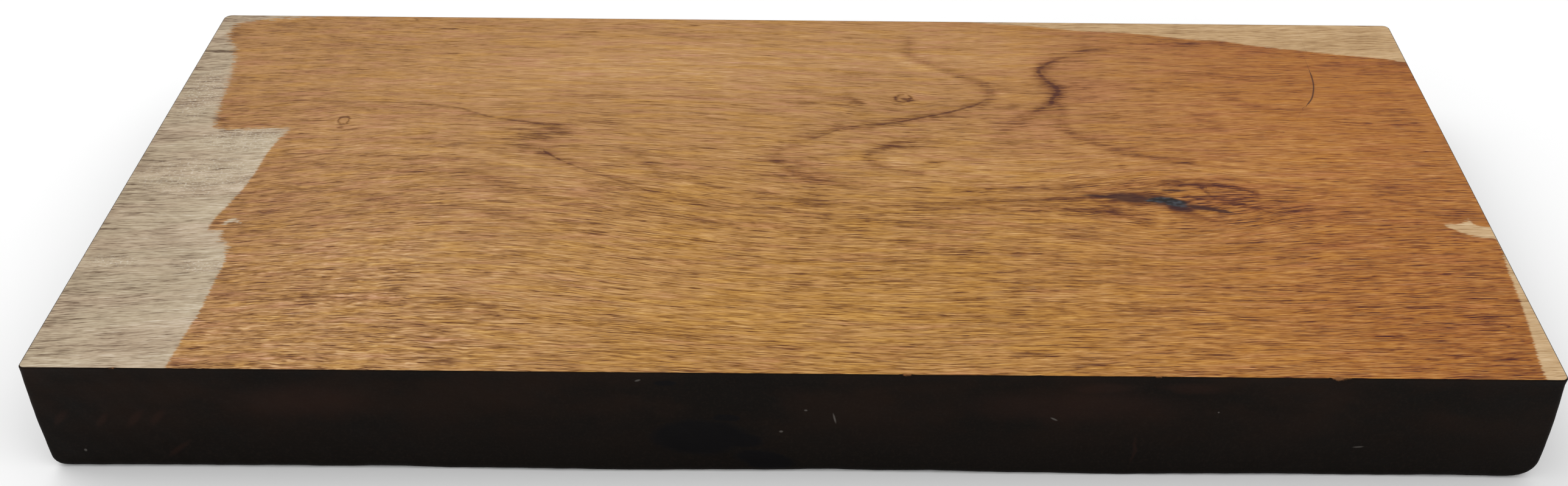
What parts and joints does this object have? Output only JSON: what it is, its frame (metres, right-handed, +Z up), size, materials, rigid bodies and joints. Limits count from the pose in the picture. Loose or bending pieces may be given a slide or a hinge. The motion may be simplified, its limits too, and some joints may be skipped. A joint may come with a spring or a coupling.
{
  "type": "mahogany billet",
  "caption": "Short wide block of solid mahogany with a planed, partly wetted top face and dark sealer on its sides, kept for turning or carving.",
  "frame": {"origin": "middle of the underside, on the surface that the billet lies on", "axes": "+X along the grain and the length, +Y across the grain away from the near side, +Z up through the thickness"},
  "size_m": [0.5, 0.229, 0.0445],
  "materials": {
    "mahogany": "planed bare wood, damp over most of the top, with near-black sealer on the sides"
  },
  "bodies": {
    "root": {"billet": "mahogany"}
  },
  "joints": []
}
